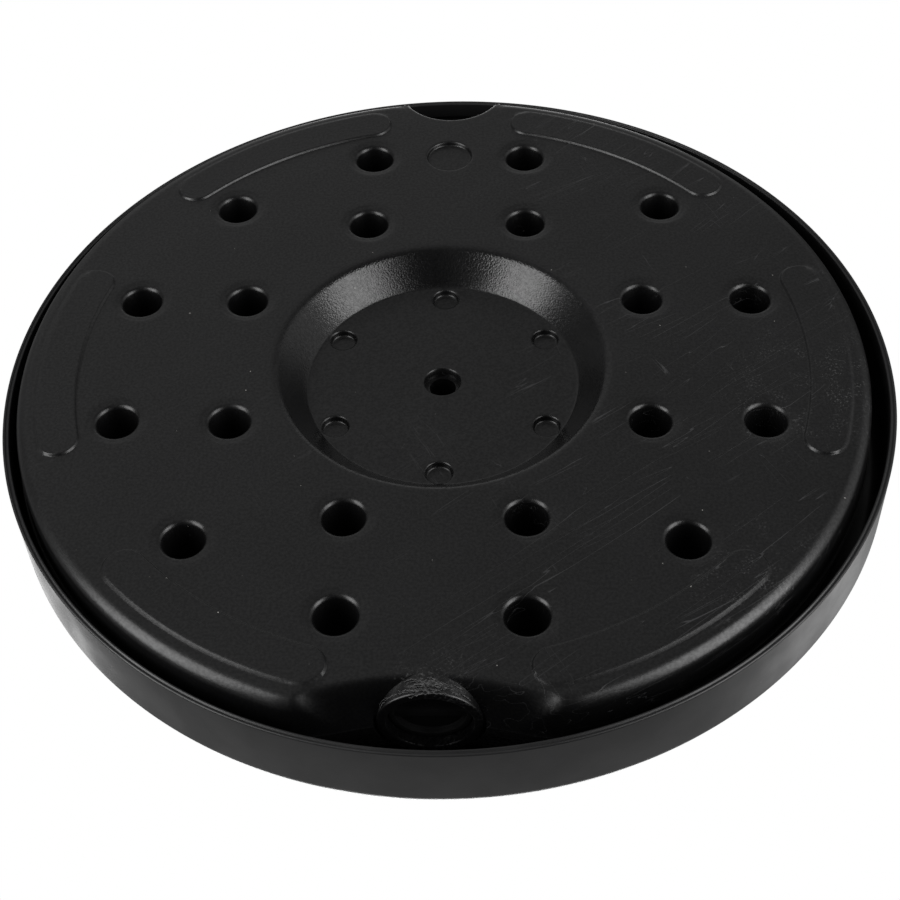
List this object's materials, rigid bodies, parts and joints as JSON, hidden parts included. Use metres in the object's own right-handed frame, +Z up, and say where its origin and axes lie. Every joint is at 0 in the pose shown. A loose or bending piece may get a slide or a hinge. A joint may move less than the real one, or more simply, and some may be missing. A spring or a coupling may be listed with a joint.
{
  "type": "umbrella stand",
  "caption": "Round ballasted umbrella stand: a moulded tank under a steel cover, with a bolted pole tube, a hand-knob clamp and a lift-out pole sleeve.",
  "frame": {"origin": "centre of the round cover in plan, on the plane of the six pads that the stand rests on", "axes": "+Z up along the pole, -Y towards the clamp knob and the fill plug, +Y towards the finger notch in the tank's rim; +X completes the right-handed frame"},
  "size_m": [0.4534, 0.4534, 0.35],
  "materials": {
    "coated_steel": "satin",
    "tank_hdpe": "satin",
    "ballast": "matte",
    "zinc_plate": "satin",
    "brass_insert": "satin",
    "black_moulding": "matte",
    "nylon": "matte",
    "seal_rubber": "matte"
  },
  "bodies": {
    "root": {"cover_shell": "coated_steel", "ballast_tank": "tank_hdpe", "ballast_fill": "ballast", "tube_flange": "coated_steel", "pole_tube": "coated_steel", "clamp_nut": "coated_steel", "flange_screw_1": "zinc_plate", "flange_washer_1": "zinc_plate", "threaded_insert_1": "brass_insert", "flange_screw_2": "zinc_plate", "flange_washer_2": "zinc_plate", "threaded_insert_2": "brass_insert", "flange_screw_3": "zinc_plate", "flange_washer_3": "zinc_plate", "threaded_insert_3": "brass_insert", "flange_screw_4": "zinc_plate", "flange_washer_4": "zinc_plate", "threaded_insert_4": "brass_insert", "flange_screw_5": "zinc_plate", "flange_washer_5": "zinc_plate", "threaded_insert_5": "brass_insert", "flange_screw_6": "zinc_plate", "flange_washer_6": "zinc_plate", "threaded_insert_6": "brass_insert"},
    "sleeve": {"pole_adapter": "black_moulding"},
    "clamp_tip_body": {"clamp_tip": "nylon"},
    "clamp_screw": {"clamp_stud": "zinc_plate", "clamp_knob": "black_moulding"},
    "plug_ring": {"plug_seal_ring": "seal_rubber"},
    "plug": {"fill_plug": "black_moulding"}
  },
  "joints": [
    {"name": "sleeve_lift", "type": "slide", "parent": "root", "child": "sleeve", "axis": [0, 0, 1], "range_m": [0, 0.095]},
    {"name": "clamp_travel", "type": "slide", "parent": "root", "child": "clamp_tip_body", "axis": [0, 1, 0], "range_m": [0, 0.0075]},
    {"name": "clamp_turn", "type": "hinge", "parent": "clamp_tip_body", "child": "clamp_screw", "pos_m": [0.0025, -0.05, 0.3], "axis": [0, 1, 0], "range_deg": [0, 1800]},
    {"name": "plug_travel", "type": "slide", "parent": "root", "child": "plug_ring", "axis": [0, -1, 0], "range_m": [0, 0.012]},
    {"name": "plug_turn", "type": "hinge", "parent": "plug_ring", "child": "plug", "pos_m": [0.0025, -0.19, 0.0245], "axis": [0, -1, 0], "range_deg": [0, 1080]}
  ],
  "couplings": [
    {"joint": "clamp_travel", "follows": "clamp_turn", "m_per_rad": 0.00023873},
    {"joint": "plug_travel", "follows": "plug_turn", "m_per_rad": 0.00063661}
  ]
}
